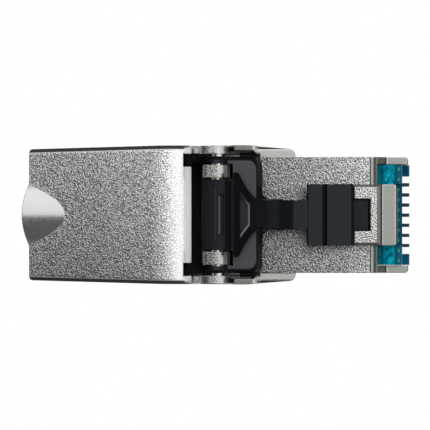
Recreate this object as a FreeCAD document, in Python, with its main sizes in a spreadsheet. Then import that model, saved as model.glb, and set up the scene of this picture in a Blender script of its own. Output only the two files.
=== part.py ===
import FreeCAD, Part
import math
import os
import re
import Sketcher

Vector = FreeCAD.Vector

# Frame: +X runs from the cable end to the contact nose, +Z points to the latch side,
# and the origin is the middle of the footprint on the flat underside. Millimetres.

sizes = {
    # standard eight-position interface
    "pitch": 1.016,
    "ways": 8,
    "nose_half": 5.79,
    "nose_bottom": 2.0,
    "nose_top": 8.6,
    "nose_tip": 19.2,
    # outline of the housing, seen from the latch side
    "rear_face": -18.58,
    "rear_half": 6.5,
    "rear_corner": 0.4,
    "belly_x": -5.5,
    "belly_half": 6.88,
    "belly_blend": 20,
    "shoulder_x": 3.0,
    "shoulder_half": 6.93,
    "wing_tip": 7.95,
    "wing_half": 6.55,
    "wing_corner": 0.7,
    "wing_top": 8.3,
    "wing_edge_round": 0.35,
    "wing_draft": 0.12,
    "sole_round": 0.35,
    # heights of the two shells
    "parting": 6.4,
    "seam": 0.05,
    "lid_top": 12.8,
    "lid_skin": 1.2,
    "floor_skin": 1.2,
    "side_skin": 1.2,
    "cavity_rear": -14.4,
    "cavity_front": 7.0,
    "deck_rear": -1.45,
    "deck_under": 6.9,
    "above": 20,
    "past": 1,
    # hinge shared by the lid and the latch button
    "pin_z": 11.2,
    "pin_radius": 0.6,
    "pin_half": 6.8,
    "running_fit": 0.04,
    "lug_in": 3.68,
    "lug_out": 4.95,
    "lug_radius": 1.45,
    "lug_crown": 1.75,
    "lug_heel_round": 0.5,
    "lug_heel": -1.45,
    "lug_toe": 1.26,
    "arm_in": 6.05,
    "arm_out": 6.85,
    "arm_dip": 11.25,
    "arm_crown": 2.2,
    "arm_heel_round": 1.2,
    "arm_toe_round": 0.6,
    # side cheeks of the housing beside the button
    "cheek_rear": 1.75,
    "cheek_top": 12.2,
    "cheek_front": 4.0,
    "cheek_foot": 4.4,
    "cheek_shoulder": 11.6,
    "cheek_round": 0.5,
    "cheek_cove": 0.9,
    "cheek_in": 6.4,
    "cheek_relief": 3.75,
    "knuckle_floor": 9.2,
    "knuckle_cove": 1.6,
    "step_x": -2.4,
    # lid front edge, notches and cable bulge
    "lid_front": -2.5,
    "lid_front_half": 6.898,
    "lid_edge_round": 0.6,
    "brow_corner": -3.9,
    "lid_round": 6.0,
    "lid_lip": 9.4,
    "notch_x": -3.3,
    "notch_in": 4.77,
    "notch_out": 6.08,
    "bulge_start": -14.9,
    "bulge_rear": -19.3,
    "bulge_rise": 0.8,
    "bulge_root": 6.0,
    "bulge_sink": 0.02,
    "bulge_spread": 58,
    "lip_radius": 7.05,
    "lip_point": -20.03,
    "lip_root": 3.07,
    "cable_radius": 4.3,
    # nose
    "roof_break": 15.28,
    "roof_foot": 15.43,
    "roof_cove": 0.1,
    "roof_end": 16.05,
    "roof_low": 8.2,
    "roof_lip": 0.25,
    "roof_under": 7.6,
    "ear_in": 5.05,
    "ear_top": 6.9,
    "ear_foot": 16.95,
    "ear_cove": 0.4,
    "ear_brow": 0.15,
    "ear_corner": 0.35,
    "nose_chin": 0.8,
    "belly_skin": 0.5,
    "mouth_rear": 13.7,
    # latch root pad and the sloped block before it
    "pad_half": 3.05,
    "pad_rear": 13.75,
    "pad_front": 15.95,
    "pad_top": 10.2,
    "pad_foot": 16.45,
    "pad_cove": 0.25,
    "pad_draft": 0.28,
    "block_round": 0.5,
    "block_tip": 18.1,
    "block_nose": 0.3,
    "block_under": 6.65,
    "block_rear": 15.0,
    "slot_half": 1.62,
    "slot_end": 15.35,
    "slot_floor": 8.8,
    # latch lever
    "root_x": 14.5,
    "root_z": 9.55,
    "root_radius": 0.4,
    "root_half": 2.1,
    "tongue_half": 1.5,
    "tongue_tip": 15.2,
    "tongue_low": 9.1,
    "tongue_top": 10.0,
    "hook_half": 3.05,
    "hook_rear": 9.0,
    "hook_top": 11.05,
    "hook_low": 9.9,
    "ramp_end": 10.5,
    "ramp_top": 10.95,
    "groove_floor": 10.45,
    "block_start": 10.88,
    "lever_block_top": 10.95,
    "lever_block_end": 13.65,
    "lever_block_low": 9.45,
    "neck_half": 1.45,
    "neck_low": 9.95,
    "neck_top": 10.65,
    "neck_ramp": 6.2,
    "neck_crest": 7.7,
    "neck_crest_top": 10.98,
    "neck_crest_low": 10.28,
    "neck_bend": 1.0,
    "paddle_rear": 2.8,
    "paddle_front": 4.3,
    "paddle_half": 3.4,
    "paddle_low": 10.0,
    "paddle_cove": 0.4,
    "relief_floor": 7.9,
    "relief_rear": 2.4,
    "relief_half": 1.55,
    "relief_gap": 0.25,
    "relief_front": 6.6,
    "lever_round": 0.2,
    # latch button frame
    "frame_half": 5.8,
    "frame_low": 10.85,
    "frame_top": 12.1,
    "frame_brow": 4.0,
    "frame_front": 4.55,
    "frame_corner": 0.8,
    "frame_brow_round": 0.25,
    "barrel_radius": 1.4,
    "window_in": 3.5,
    "window_out": 5.1,
    "window_front": 1.62,
    "barrel_cut": 0.35,
    "barrel_cut_heel": 0.18,
    "barrel_cut_half": 2.05,
    "barrel_cut_rear": 0.22,
    "barrel_cut_front": 0.75,
    "valley_rear": 0.88,
    "valley_front": 1.42,
    "valley_floor": 11.8,
    "claw_in": 5.2,
    "claw_rear": -3.18,
    "claw_rise": 0.3,
    "claw_foot_front": -1.85,
    "claw_foot_in": 4.87,
    "claw_foot_out": 5.97,
    "claw_round": 0.25,
    "gusset_in": 1.55,
    "gusset_tip": 5.2,
    "gusset_bend": 1.72,
    "gusset_sweep": 0.8,
    "gusset_out": 2.8,
    "gusset_low": 11.08,
    "gusset_top": 11.45,
    "button_rear": 1.7,
    "button_half": 4.2,
    "button_corner": 0.2,
    "button_horn_x": 2.15,
    "button_horn": 0.3,
    "button_sweep": 4,
    "button_tip": 5.05,
    "button_tip_half": 0.8,
    "button_low": 11.35,
    "button_top": 12.95,
    "button_brow": 3.4,
    "button_nose": 12.25,
    "button_waist_x": 3.35,
    "button_waist": 2.0,
    "dimple_rear": 2.35,
    "dimple_front": 3.25,
    "dimple_half": 2.2,
    "dimple_tip": 1.0,
    "dimple_depth": 0.3,
    # contact insert and its contacts
    "insert_rear": 11.0,
    "insert_half": 5.0,
    "insert_top": 7.6,
    "insert_low": 2.55,
    "insert_sole": 2.05,
    "insert_front": 18.6,
    "insert_brow": 0.7,
    "insert_saddle": 6.6,
    "comb_tip": 19.36,
    "comb_top": 5.6,
    "slot_width": 0.68,
    "slot_rear": 13.9,
    "slot_roof": 4.75,
    "contact_width": 0.36,
    "contact_front": 18.5,
    "contact_sole": 2.45,
    "contact_rear": 14.2,
    "contact_top": 4.6,
    "contact_nose": 0.8,
    "tail_low": 4.2,
    "tail_rear": 9.2,
    # circuit board, terminals, wire manager and braid clip
    "board_low": 3.2,
    "board_top": 4.2,
    "board_rear": -11.0,
    "board_front": 10.9,
    "board_half": 5.2,
    "board_neck": 4.7,
    "board_step": 6.2,
    "rail_in": 3.4,
    "rail_out": 4.2,
    "idc_rear": -10.6,
    "idc_front": -2.9,
    "idc_half": 5.2,
    "idc_top": 7.3,
    "wire_pitch": 1.25,
    "wire_radius": 0.42,
    "idc_row": -4.6,
    "idc_row_step": 3.4,
    "fork_half": 0.38,
    "fork_gap": 0.12,
    "fork_thick": 0.3,
    "fork_top": 8.7,
    "fork_throat": 6.6,
    "tray_rear": -13.6,
    "tray_front": -3.9,
    "tray_half": 5.3,
    "tray_low": 7.6,
    "tray_top": 11.6,
    "tray_round": 0.5,
    "groove_half": 0.47,
    "groove_top": 9.1,
    "clip_rear": -14.3,
    "clip_front": -11.6,
    "clip_radius": 3.95,
    "clip_thick": 0.3,
    "clip_foot_half": 1.4,
}

doc = FreeCAD.newDocument("rj45_plug")
dims = doc.addObject("Spreadsheet::Sheet", "dims")
for row, (alias, value) in enumerate(sizes.items(), start=1):
    dims.set(f"A{row}", alias)
    dims.set(f"B{row}", str(value))
    dims.setAlias(f"B{row}", alias)
doc.recompute()


def bound(expression):
    """Expression text with every sheet alias written out in full."""
    return re.sub(r"[a-z_]\w*", lambda w: f"dims.{w[0]}" if w[0] in sizes else w[0], str(expression))


def value_of(expression):
    return float(dims.evalExpression(bound(expression)))


def new_body(label):
    body = doc.addObject("PartDesign::Body", label)
    body.Label = label
    return body


def new_sketch(body, name, plane, offset="0"):
    """Sketch on one of the body's own origin planes, moved along its normal."""
    sketch = body.newObject("Sketcher::SketchObject", name)
    origin = {feature.Role: feature for feature in body.Origin.OriginFeatures}
    sketch.AttachmentSupport = [(origin[plane], "")]
    sketch.MapMode = "FlatFace"
    sketch.setExpression(".AttachmentOffset.Base.z", bound(offset))
    return sketch


def pin_down(sketch, geometry, corner, across, up):
    """Hold one point of the sketch at two expressions."""
    for kind, expression in (("DistanceX", across), ("DistanceY", up)):
        held = Sketcher.Constraint(kind, -1, 1, geometry, corner, value_of(expression))
        index = sketch.addConstraint(held)
        sketch.setExpression(f"Constraints[{index}]", bound(expression))


def rounded_corner(before, corner, after, radius):
    """Both tangent points, the centre and the turn of a rounded corner."""
    back = (before - corner).normalize()
    ahead = (after - corner).normalize()
    half_angle = back.getAngle(ahead) / 2
    reach = radius / math.tan(half_angle)
    middle = (back + ahead).normalize()
    centre = corner + middle * (radius / math.sin(half_angle))
    left_turn = back.cross(ahead).z < 0
    return corner + back * reach, corner + ahead * reach, centre, left_turn


def outline(sketch, corners):
    """Closed outline from (x, y) or (x, y, radius) corners, all given as expressions."""
    points = [Vector(value_of(c[0]), value_of(c[1]), 0) for c in corners]
    count = len(corners)
    base = sketch.GeometryCount
    entry, leave, arcs = list(points), list(points), {}
    for i, corner in enumerate(corners):
        if len(corner) == 3:
            found = rounded_corner(points[i - 1], points[i], points[(i + 1) % count], value_of(corner[2]))
            entry[i], leave[i] = found[:2]
            arcs[i] = found[2:]
    for i in range(count):
        sketch.addGeometry(Part.LineSegment(leave[i], entry[(i + 1) % count]), False)
    for i, corner in enumerate(corners):
        line_in = base + (i - 1) % count
        line_out = base + i
        if i not in arcs:
            sketch.addConstraint(Sketcher.Constraint("Coincident", line_in, 2, line_out, 1))
            pin_down(sketch, line_out, 1, corner[0], corner[1])
            continue
        centre, left_turn = arcs[i]
        first, last = (entry[i], leave[i]) if left_turn else (leave[i], entry[i])
        angles = [math.atan2(p.y - centre.y, p.x - centre.x) for p in (first, last)]
        circle = Part.Circle(centre, Vector(0, 0, 1), value_of(corner[2]))
        arc = sketch.addGeometry(Part.ArcOfCircle(circle, angles[0], angles[1]), False)
        point = sketch.addGeometry(Part.Point(points[i]), True)
        start, end = (1, 2) if left_turn else (2, 1)
        sketch.addConstraint(Sketcher.Constraint("Tangent", line_in, 2, arc, start))
        sketch.addConstraint(Sketcher.Constraint("Tangent", arc, end, line_out, 1))
        sketch.addConstraint(Sketcher.Constraint("PointOnObject", point, 1, line_in))
        sketch.addConstraint(Sketcher.Constraint("PointOnObject", point, 1, line_out))
        held = sketch.addConstraint(Sketcher.Constraint("Radius", arc, value_of(corner[2])))
        sketch.setExpression(f"Constraints[{held}]", bound(corner[2]))
        pin_down(sketch, point, 1, corner[0], corner[1])


def circle(sketch, across, up, radius):
    centre = Vector(value_of(across), value_of(up), 0)
    index = sketch.addGeometry(Part.Circle(centre, Vector(0, 0, 1), value_of(radius)), False)
    pin_down(sketch, index, 3, across, up)
    held = sketch.addConstraint(Sketcher.Constraint("Radius", index, value_of(radius)))
    sketch.setExpression(f"Constraints[{held}]", bound(radius))


def mirrored(half):
    """Corners of one side followed by the same corners on the other side."""
    other = [(c[0], f"-({c[1]})", *c[2:]) for c in reversed(half)]
    return half + other


def block(x_from, x_to, y_from, y_to):
    return [(x_from, y_from), (x_to, y_from), (x_to, y_to), (x_from, y_to)]


def extrude(body, kind, name, sketch, length, side="One side", reverse=False):
    before = body.Shape.Volume if kind == "Pocket" else 0
    feature = body.newObject(f"PartDesign::{kind}", name)
    feature.Profile = sketch
    feature.SideType = side
    feature.Reversed = reverse
    feature.setExpression("Length", bound(length))
    doc.recompute()
    if kind == "Pocket" and body.Shape.Volume >= before:
        raise ValueError(f"{name} removes nothing from {body.Label}")
    return feature


def side_pad(body, name, corners, half, kind="Pad"):
    """Side-view outline, carried the same distance to both sides of the middle plane."""
    sketch = new_sketch(body, name + "_outline", "XZ_Plane")
    outline(sketch, corners)
    return extrude(body, kind, name, sketch, f"2 * ({half})", "Symmetric")


def side_slab(body, name, corners, y_from, y_to, kind="Pad"):
    """Side-view outline between two distances from the middle plane."""
    sketch = new_sketch(body, name + "_outline", "XZ_Plane", f"-({y_to})")
    outline(sketch, corners)
    return extrude(body, kind, name, sketch, f"({y_to}) - ({y_from})", reverse=kind == "Pocket")


def top_pad(body, name, corners, z_from, z_to):
    """Plan outline between two heights."""
    sketch = new_sketch(body, name + "_outline", "XY_Plane", z_from)
    outline(sketch, corners)
    return extrude(body, "Pad", name, sketch, f"({z_to}) - ({z_from})")


def top_pocket(body, name, corners, z_from, z_to):
    sketch = new_sketch(body, name + "_outline", "XY_Plane", z_from)
    outline(sketch, corners)
    return extrude(body, "Pocket", name, sketch, f"({z_to}) - ({z_from})", reverse=True)


def cross_hole(body, name, across, up, radius, half):
    sketch = new_sketch(body, name + "_circle", "XZ_Plane")
    circle(sketch, across, up, radius)
    return extrude(body, "Pocket", name, sketch, f"2 * ({half})", "Symmetric")


def cross_bar(body, name, across, up, radius, half):
    sketch = new_sketch(body, name + "_circle", "XZ_Plane")
    circle(sketch, across, up, radius)
    return extrude(body, "Pad", name, sketch, f"2 * ({half})", "Symmetric")


def long_bore(body, name, x_from, x_to, radius):
    """Round channel along the cable axis."""
    sketch = new_sketch(body, name + "_circle", "YZ_Plane", x_from)
    circle(sketch, 0, "parting", radius)
    return extrude(body, "Pocket", name, sketch, f"({x_to}) - ({x_from})", reverse=True)


def round_edges(body, name, radius, wanted):
    """Fillet of every edge whose middle point and direction satisfy the test."""
    base = body.Tip
    picked = []
    for number, edge in enumerate(base.Shape.Edges, start=1):
        middle = edge.valueAt((edge.FirstParameter + edge.LastParameter) / 2)
        along = edge.tangentAt((edge.FirstParameter + edge.LastParameter) / 2)
        if wanted(middle, along, edge):
            picked.append(f"Edge{number}")
    fillet = body.newObject("PartDesign::Fillet", name)
    fillet.Base = (base, picked)
    fillet.setExpression("Radius", bound(radius))
    doc.recompute()
    return fillet


def both_sides(inner, outer):
    """The same span of distances from the middle plane, on the left and on the right."""
    return (("left", inner, outer), ("right", f"-({outer})", f"-({inner})"))


# how far an edge may lie from a named size, and how straight it must run along an axis
same_place = 0.02
neighbourhood = 0.6
mostly = 0.9


def near(a, b, slack=same_place):
    return abs(a - value_of(b)) < slack


# how much each side widens per millimetre from the rear face to the belly
side_slope = "(belly_half - rear_half) / (belly_x - rear_face)"


def housing_plan(front_x, front_half, *front_radius, rear=("rear_face", "rear_half", "rear_corner")):
    """Plan outline of both sides, from the cable end forward to front_x."""
    corners = [rear, ("belly_x", "belly_half", "belly_blend")]
    if value_of(front_x) > value_of("shoulder_x"):
        corners.append(("shoulder_x", "shoulder_half", "belly_blend"))
    corners.append((front_x, front_half, *front_radius))
    return mirrored(corners)


def add_wing_rounding(body):
    """Soft outer corner along the top of both wings, with a little draft below it."""
    for side, sign in (("left", ""), ("right", "-")):
        sketch = new_sketch(body, f"{side}_wing_outline", "YZ_Plane", "cheek_foot")
        outline(sketch, [
            (f"{sign}(nose_half)", "wing_top"),
            (f"{sign}(wing_half + wing_draft)", "wing_top", "wing_edge_round"),
            (f"{sign}(shoulder_half)", "wing_top - 2 * wing_edge_round"),
            (f"{sign}(shoulder_half + past)", "wing_top - 2 * wing_edge_round"),
            (f"{sign}(shoulder_half + past)", "wing_top + past"),
            (f"{sign}(nose_half)", "wing_top + past"),
        ])
        extrude(body, "Pocket", f"{side}_wing_edge", sketch, "wing_tip - cheek_foot + past", reverse=True)


def round_tips(body, name, tip, half, radius):
    """Plan rounding of the two front corners of a part that ends at tip."""
    for side, sign in (("left", ""), ("right", "-")):
        top_pocket(body, f"{side}_{name}_tip", [
            (f"{tip} - past", f"{sign}({half})"),
            (tip, f"{sign}({half})", radius),
            (tip, f"{sign}({half} - past)"),
            (f"{tip} + past", f"{sign}({half} - past)"),
            (f"{tip} + past", f"{sign}({half} + past)"),
            (f"{tip} - past", f"{sign}({half} + past)"),
        ], 0, "above")


def add_pad_draft(body):
    """Sloping side walls of the latch root pad."""
    for side, sign in (("left", ""), ("right", "-")):
        sketch = new_sketch(body, f"{side}_pad_outline", "YZ_Plane", "pad_rear - past")
        outline(sketch, [
            (f"{sign}(pad_half)", "nose_top"),
            (f"{sign}(pad_half - pad_draft)", "pad_top"),
            (f"{sign}(pad_half - pad_draft)", "pad_top + past"),
            (f"{sign}(pad_half + past)", "pad_top + past"),
            (f"{sign}(pad_half + past)", "nose_top"),
        ])
        extrude(body, "Pocket", f"{side}_pad_draft", sketch, "block_tip - pad_rear", reverse=True)


def build_lower_housing():
    """Die-cast lower shell with the nose, side wings, hinge lugs and half the cable outlet."""
    body = new_body("lower_housing")
    top_pad(body, "shell", housing_plan("wing_tip", "wing_half", "wing_corner"), 0, "cheek_top")
    side_pad(body, "shell_top", [
        ("rear_face - past", "parting"),
        ("step_x", "parting"),
        ("step_x", "knuckle_floor"),
        ("cheek_rear", "knuckle_floor", "knuckle_cove"),
        ("cheek_rear", "above"),
        ("rear_face - past", "above"),
    ], "shoulder_half + past", "Pocket")
    side_pad(body, "wing_drop", [
        ("cheek_front", "above"),
        ("cheek_front", "cheek_shoulder"),
        ("cheek_foot", "wing_top", "cheek_cove"),
        ("wing_tip + past", "wing_top"),
        ("wing_tip + past", "above"),
    ], "shoulder_half + past", "Pocket")
    round_edges(body, "cheek_brow", "cheek_round", lambda p, d, e: (
        abs(d.y) > mostly and near(p.z, "cheek_top") and near(p.x, "cheek_front", neighbourhood)))
    add_wing_rounding(body)
    round_edges(body, "sole_edge", "sole_round", lambda p, d, e: near(p.z, 0))
    side_pad(body, "nose", [
        ("deck_rear", "deck_under"),
        ("deck_rear", "nose_top"),
        ("roof_break", "nose_top"),
        ("roof_foot", "roof_low", "roof_cove"),
        ("roof_end", "roof_low", "roof_lip"),
        ("ear_foot", "ear_top", "ear_cove"),
        ("nose_tip", "ear_top", "ear_brow"),
        ("nose_tip", "nose_bottom", "nose_chin"),
        ("cavity_front", "nose_bottom"),
        ("cavity_front", "deck_under"),
    ], "nose_half")
    round_tips(body, "ear", "nose_tip", "nose_half", "ear_corner")
    top_pocket(body, "button_well", block("deck_rear - past", "wing_tip + past", "-arm_in", "arm_in"),
               "nose_top", "above")
    for side, *span in both_sides("arm_in - past", "cheek_in"):
        top_pocket(body, f"{side}_cheek_relief", block("cheek_rear - past", "cheek_relief", *span),
                   "knuckle_floor", "above")
    top_pocket(body, "inner_room", block("cavity_rear", "cavity_front", "-(rear_half - side_skin)",
                                         "rear_half - side_skin"), "floor_skin", "deck_under")
    top_pocket(body, "hinge_gap", block("step_x - past", "deck_rear", "-(rear_half - side_skin)",
                                        "rear_half - side_skin"), "deck_under - seam", "above")
    side_pad(body, "nose_room", [
        ("cavity_front - past", "nose_bottom + belly_skin"),
        ("mouth_rear", "nose_bottom + belly_skin"),
        ("mouth_rear", "nose_bottom - past"),
        ("nose_tip + past", "nose_bottom - past"),
        ("nose_tip + past", "nose_top + past"),
        ("roof_end", "nose_top + past"),
        ("roof_end", "roof_under"),
        ("cavity_front - past", "roof_under"),
    ], "ear_in", "Pocket")
    side_pad(body, "latch_pad", [
        ("pad_rear", "roof_under"),
        ("pad_rear", "pad_top"),
        ("pad_front", "pad_top"),
        ("pad_foot", "nose_top", "pad_cove"),
        ("block_tip", "nose_top", "block_nose"),
        ("block_tip", "block_under"),
        ("block_rear", "block_under"),
        ("block_rear", "roof_under"),
    ], "pad_half")
    add_pad_draft(body)
    round_tips(body, "block", "block_tip", "pad_half", "block_round")
    top_pocket(body, "tongue_slot", block("pad_rear - past", "slot_end", "-slot_half", "slot_half"),
               "slot_floor", "pad_top + past")
    cross_hole(body, "root_sockets", "root_x", "root_z", "root_radius + running_fit",
               "root_half + running_fit")
    for side, *span in both_sides("lug_in", "lug_out"):
        side_slab(body, f"{side}_lug", [
            ("lug_heel", "deck_under"),
            ("lug_heel", "pin_z + lug_radius", "lug_heel_round"),
            ("lug_toe", "pin_z + lug_radius", "lug_crown"),
            ("lug_toe", "deck_under"),
        ], *span)
    for side, *span in both_sides("rail_in", "rail_out"):
        top_pad(body, f"{side}_rail", block("board_rear", "board_step", *span),
                "floor_skin - seam", "board_low")
    cross_hole(body, "pin_bore", 0, "pin_z", "pin_radius", "arm_in")
    top_pocket(body, "neck_relief", mirrored([
        ("relief_rear", "paddle_half + relief_gap"),
        ("paddle_front + relief_gap", "paddle_half + relief_gap"),
        ("paddle_front + relief_gap", "relief_half"),
        ("relief_front", "relief_half"),
    ]), "relief_floor", "nose_top + past")
    long_bore(body, "cable_outlet", "rear_face - past", "cavity_rear + past", "cable_radius")
    return body


def trim_rear(body):
    """Cuts the lid square at its rear face, with the plan corners of the lower shell."""
    for side, sign in (("left", ""), ("right", "-")):
        top_pocket(body, f"{side}_rear_trim", [
            ("rear_face - 2 * past", "0"),
            ("rear_face", "0"),
            ("rear_face", f"{sign}(rear_half)", "rear_corner"),
            ("rear_face + past", f"{sign}(rear_half + past * {side_slope})"),
            ("rear_face + past", f"{sign}(rear_half + past)"),
            ("rear_face - 2 * past", f"{sign}(rear_half + past)"),
        ], 0, "above")


def build_cover():
    """Hinged die-cast lid with the upper half of the cable outlet and two hinge arms."""
    body = new_body("cover")
    overlong = ("rear_face - past", f"rear_half - past * {side_slope}")
    top_pad(body, "shell", housing_plan("lid_front", "lid_front_half", rear=overlong),
            "parting + seam", "lid_top")
    side_pad(body, "front_brow", [
        ("brow_corner - lid_round / 2", "lid_top"),
        ("brow_corner", "lid_top", "lid_round"),
        ("lid_front + past", "lid_top - (lid_front + past - brow_corner)"),
        ("lid_front + past", "above"),
        ("brow_corner - lid_round / 2", "above"),
    ], "shoulder_half + past", "Pocket")
    round_edges(body, "top_edge", "lid_edge_round", lambda p, d, e: (
        near(p.z, "lid_top") and abs(p.y) > 1 and p.x < value_of("brow_corner")))
    trim_rear(body)
    inner = "rear_half - side_skin"
    top_pocket(body, "inner_room", block("cavity_rear", "lid_front - lid_skin", f"-({inner})", inner),
               "parting - past", "lid_top - lid_skin")
    top_pocket(body, "front_opening", block("lid_front - lid_skin - past", "lid_front + past",
                                            f"-({inner})", inner), "parting - past", "lid_lip")
    for side, *span in both_sides("notch_in", "notch_out"):
        top_pocket(body, f"{side}_notch", block("notch_x", "lid_front + past", *span),
                   "lid_lip - past", "lid_top + past")
    for side, *span in both_sides("arm_in", "arm_out"):
        side_slab(body, f"{side}_arm", [
            ("lid_front - lid_skin", "lid_lip"),
            ("0", "pin_z - lug_radius"),
            ("lug_radius", "pin_z - lug_radius", "arm_toe_round"),
            ("lug_radius", "pin_z + lug_radius", "arm_crown"),
            ("-lug_radius", "pin_z + lug_radius", "arm_heel_round"),
            ("step_x", "arm_dip"),
            ("lid_front - lid_skin", "arm_dip"),
        ], *span)
    cross_hole(body, "pin_bore", 0, "pin_z", "pin_radius + running_fit", "shoulder_half + past")
    add_cable_bulge(body)
    long_bore(body, "cable_outlet", "bulge_rear - past", "cavity_rear + past", "cable_radius")
    return body


def add_cable_bulge(body):
    """Shallow cone rising over the cable outlet, with a bowed lip behind the rear face."""
    doc.recompute()
    sketch = new_sketch(body, "bulge_outline", "XZ_Plane")
    outline(sketch, [
        ("bulge_rear - seam", "parting + bulge_root"),
        ("bulge_start", "parting + bulge_root"),
        ("bulge_start", "lid_top - bulge_sink"),
        ("bulge_rear - seam", "lid_top + bulge_rise"),
    ])
    axis = sketch.addGeometry(Part.LineSegment(
        Vector(value_of("bulge_rear"), value_of("parting"), 0),
        Vector(value_of("bulge_start"), value_of("parting"), 0)), True)
    pin_down(sketch, axis, 1, "bulge_rear", "parting")
    pin_down(sketch, axis, 2, "bulge_start", "parting")
    cone = body.newObject("PartDesign::Revolution", "bulge")
    cone.Profile = sketch
    cone.ReferenceAxis = (sketch, ["Axis0"])
    cone.Midplane = True
    cone.setExpression("Angle", bound("bulge_spread"))
    doc.recompute()
    top_pocket(body, "lip", [
        ("lip_point", 0, "lip_radius"),
        ("rear_face", "lip_root"),
        ("rear_face", "rear_half - rear_corner"),
        ("bulge_rear - past", "rear_half - rear_corner"),
        ("bulge_rear - past", "-(rear_half - rear_corner)"),
        ("rear_face", "-(rear_half - rear_corner)"),
        ("rear_face", "-lip_root"),
    ], "parting", "above")


def build_hinge_pin():
    body = new_body("hinge_pin")
    cross_bar(body, "shaft", 0, "pin_z", "pin_radius", "pin_half")
    return body


def build_latch_actuator():
    """Moulded button frame that turns on the hinge pin and presses the lever's paddle."""
    body = new_body("latch_actuator")
    side_pad(body, "plate", [
        ("0", "frame_low"),
        ("0", "frame_top"),
        ("frame_brow", "frame_top", "frame_brow_round"),
        ("frame_front", "frame_low"),
    ], "frame_half")
    round_edges(body, "front_corners", "frame_corner", lambda p, d, e: (
        near(abs(p.y), "frame_half") and near(p.x, "frame_front", neighbourhood) and abs(d.y) < same_place))
    for side, sign in (("left", ""), ("right", "-")):
        top_pad(body, f"{side}_gusset", [
            ("frame_brow", f"{sign}gusset_in"),
            ("gusset_tip", f"{sign}gusset_in"),
            ("frame_front", f"{sign}gusset_bend", "gusset_sweep"),
            ("frame_front", f"{sign}gusset_out"),
            ("frame_brow", f"{sign}gusset_out"),
        ], "gusset_low", "gusset_top")
    cross_bar(body, "barrel", 0, "pin_z", "barrel_radius", "frame_half")
    for side, *span in both_sides("claw_in", "frame_half"):
        side_slab(body, f"{side}_claw_arm", block("claw_foot_front - seam", "0", "pin_z - claw_rise",
                                                  "pin_z + claw_rise"), *span)
    for side, *span in both_sides("claw_foot_in", "claw_foot_out"):
        side_slab(body, f"{side}_claw_foot", [
            ("claw_rear", "pin_z - claw_rise", "claw_round"),
            ("claw_foot_front", "pin_z - claw_rise"),
            ("claw_foot_front", "pin_z + claw_rise"),
            ("claw_rear", "pin_z + claw_rise", "claw_round"),
        ], *span)
    side_pad(body, "barrel_valley", [
        ("valley_rear", "valley_floor"),
        ("valley_front", "valley_floor"),
        ("valley_front", "above"),
        ("valley_rear", "above"),
    ], "window_in", "Pocket")
    side_pad(body, "barrel_groove", [
        ("barrel_cut_rear", "pin_z + barrel_radius - barrel_cut_heel"),
        ("barrel_cut_front", "pin_z + barrel_radius - barrel_cut"),
        ("barrel_cut_front", "pin_z + barrel_radius + past"),
        ("barrel_cut_rear", "pin_z + barrel_radius + past"),
    ], "barrel_cut_half", "Pocket")
    top_pad(body, "button", mirrored([
        ("button_rear", "button_half", "button_corner"),
        ("button_horn_x", "button_half", "button_horn"),
        ("button_waist_x", "button_waist", "button_sweep"),
        ("button_tip", "button_tip_half", "button_horn"),
    ]), "button_low", "button_top")
    side_pad(body, "button_slope", [
        ("button_brow", "button_top"),
        ("button_tip + past", "button_nose"),
        ("button_tip + past", "above"),
        ("button_brow", "above"),
    ], "button_half + past", "Pocket")
    top_pocket(body, "dimple", mirrored([
        ("dimple_rear", "dimple_half"),
        ("dimple_front", "dimple_tip"),
    ]), "button_top - dimple_depth", "above")
    for side, *span in both_sides("window_in", "window_out"):
        top_pocket(body, f"{side}_window", block("-(lug_radius + past)", "window_front", *span),
                   "pin_z - lug_radius - past", "above")
    cross_hole(body, "pin_bore", 0, "pin_z", "pin_radius + running_fit", "frame_half + past")
    return body


def build_latch_lever():
    """Moulded locking lever: root tongue, hook block, neck and the paddle under the button."""
    body = new_body("latch_lever")
    side_pad(body, "hook", [
        ("hook_rear", "hook_low"),
        ("hook_rear", "hook_top", "lever_round"),
        ("ramp_end", "ramp_top"),
        ("ramp_end", "groove_floor"),
        ("block_start", "groove_floor"),
        ("block_start", "lever_block_top", "lever_round"),
        ("lever_block_end", "lever_block_top - lever_round", "block_round"),
        ("lever_block_end", "lever_block_low"),
        ("block_start", "lever_block_low"),
    ], "hook_half")
    side_pad(body, "tongue", [
        ("lever_block_end - past", "lever_block_low"),
        ("lever_block_end - past", "tongue_top"),
        ("tongue_tip", "tongue_top", "lever_round"),
        ("tongue_tip", "tongue_low", "lever_round"),
        ("lever_block_end", "tongue_low"),
    ], "tongue_half")
    cross_bar(body, "root", "root_x", "root_z", "root_radius", "root_half")
    side_pad(body, "neck", [
        ("paddle_front - past", "neck_low"),
        ("paddle_front - past", "neck_top"),
        ("neck_ramp", "neck_top", "neck_bend"),
        ("neck_crest", "neck_crest_top", "neck_bend"),
        ("ramp_end", "neck_crest_top"),
        ("ramp_end", "neck_crest_low"),
        ("neck_crest", "neck_crest_low", "neck_bend"),
        ("neck_ramp", "neck_low", "neck_bend"),
    ], "neck_half")
    top_pad(body, "paddle", mirrored([
        ("paddle_rear", "paddle_half"),
        ("paddle_front", "paddle_half", "lever_round"),
        ("paddle_front", "neck_half", "paddle_cove"),
        ("paddle_front + past", "neck_half"),
    ]), "paddle_low", "neck_top")
    return body


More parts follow.
